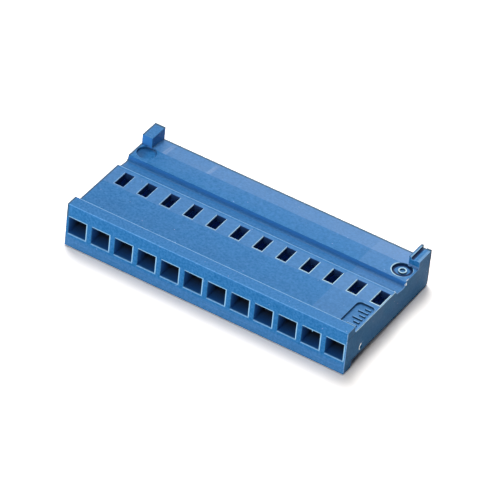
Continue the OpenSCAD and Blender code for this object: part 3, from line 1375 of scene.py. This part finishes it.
@dataclass
class Studio:
    """White floor, white surroundings and soft light."""

    floor_radius: float = 60 * MM
    floor_sides: int = 96
    rest_front: Point = (0.0, -6.5, 0.0)
    rest_rear: Point = (0.0, 7.2, 0.78)
    floor_white: Colour = (1.65, 1.6, 1.56)
    floor_bounce: Colour = (0.57, 0.57, 0.57)
    sky_white: Colour = (1.0, 1.0, 1.0)
    softboxes: Sequence[Softbox] = (
        Softbox("high_left", 225.0, 70.0, 0.53),
        Softbox("overhead", 0.0, 90.0, 0.20),
        Softbox("front", 0.0, 15.0, 0.31),
        Softbox("low_front", 0.0, 0.0, 0.36),
        Softbox("low_front_left", 315.0, 0.0, 0.24),
        Softbox("low_rear_left", 225.0, 15.0, 0.33, size=300 * MM),
        Softbox("low_rear", 180.0, 15.0, 0.17, size=300 * MM),
    )

    def build_floor(self) -> bpy.types.Object:
        """Makes the round floor that the rim and the rear toe rest on.

        Returns:
            The floor, marked as stage.
        """
        work = bmesh.new()
        bmesh.ops.create_circle(work, cap_ends=True, radius=self.floor_radius, segments=self.floor_sides)
        mesh = bpy.data.meshes.new("floor")
        work.to_mesh(mesh)
        work.free()
        floor = link_object("floor", mesh)
        front, rear = Vector(self.rest_front) * MM, Vector(self.rest_rear) * MM
        slope = (rear - front).normalized()
        tilt = math.atan2(slope.z, slope.y)
        floor.matrix_world = Matrix.Translation((front + rear) / 2) @ Matrix.Rotation(tilt, 4, "X")
        floor.data.materials.append(self.floor_finish())
        return floor

    def seen(self, graph: Graph) -> Socket:
        """Gives 1 for the rays by which the camera sees the surroundings, straight or mirrored."""
        path = graph.node("ShaderNodeLightPath").outputs
        return graph.most(path["Is Camera Ray"], path["Is Glossy Ray"], path["Is Transmission Ray"])

    def floor_finish(self) -> bpy.types.Material:
        """Makes the floor's material, white to the eye and grey as a source of bounced light.

        Returns:
            The material.
        """
        made = bpy.data.materials.new("studio_floor")
        graph = bare_graph(made)
        shades = [graph.node("ShaderNodeBsdfDiffuse", {"Color": rgba(colour)}).outputs["BSDF"]
                  for colour in (self.floor_bounce, self.floor_white)]
        pick = graph.node("ShaderNodeMixShader")
        for socket, value in zip(pick.inputs, (self.seen(graph), *shades)):
            graph.feed(socket, value)
        graph.node("ShaderNodeOutputMaterial", {"Surface": pick.outputs[0]})
        return made

    def build_world(self) -> None:
        """Makes the surroundings, white to the eye and dark as a source of light."""
        world = bpy.data.worlds.new("studio")
        bpy.context.scene.world = world
        graph = bare_graph(world)
        light = {"Color": rgba(self.sky_white), "Strength": self.seen(graph)}
        sky = graph.node("ShaderNodeBackground", light)
        graph.node("ShaderNodeOutputWorld", {"Surface": sky.outputs["Background"]})

    def build(self) -> None:
        """Makes the floor, the surroundings and the lights."""
        self.build_floor()
        self.build_world()
        for softbox in self.softboxes:
            softbox.build()
        bpy.context.scene.view_settings.view_transform = "Standard"


@dataclass
class PhotoCamera:
    """Camera at the photograph's viewing angle. It looks past its target by aim_right and aim_up."""

    name: str = "photo_camera"
    azimuth: float = 27.99
    elevation: float = 39.017
    roll: float = 6.31
    lens: float = 378.43
    sensor: float = 36.0
    distance: float = 479.33 * MM
    aim_right: float = 3.985 * MM
    aim_up: float = 1.628 * MM
    target: Point = (0.0, -7.5, 4.89)
    nearest: float = 1 * MM
    farthest: float = 10000 * MM

    def build(self) -> bpy.types.Object:
        """Makes the camera and hands it to the scene.

        Returns:
            The camera.
        """
        back = direction(self.azimuth, self.elevation)
        level = Vector((math.cos(math.radians(self.azimuth)), math.sin(math.radians(self.azimuth)), 0.0))
        right = Matrix.Rotation(math.radians(self.roll), 3, back) @ level
        up = back.cross(right)
        place = Vector(self.target) * MM + right * self.aim_right + up * self.aim_up + back * self.distance
        data = bpy.data.cameras.new(self.name)
        data.lens = self.lens
        data.sensor_width = self.sensor
        data.clip_start = self.nearest
        data.clip_end = self.farthest
        made = link_object(self.name, data)
        made.matrix_world = Matrix.Translation(place) @ Matrix((right, up, back)).transposed().to_4x4()
        bpy.context.scene.camera = made
        return made


def main() -> None:
    """Builds the camera, the studio and every piece in order."""
    logging.basicConfig(level=logging.INFO, format="%(name)s: %(message)s")
    PhotoCamera().build()
    Studio().build()
    for piece in (HousingShell(), MarkingBars(), DiscRing(), WitnessRidges(), FlashSlivers()):
        piece.build()


if __name__ == "__main__":
    main()
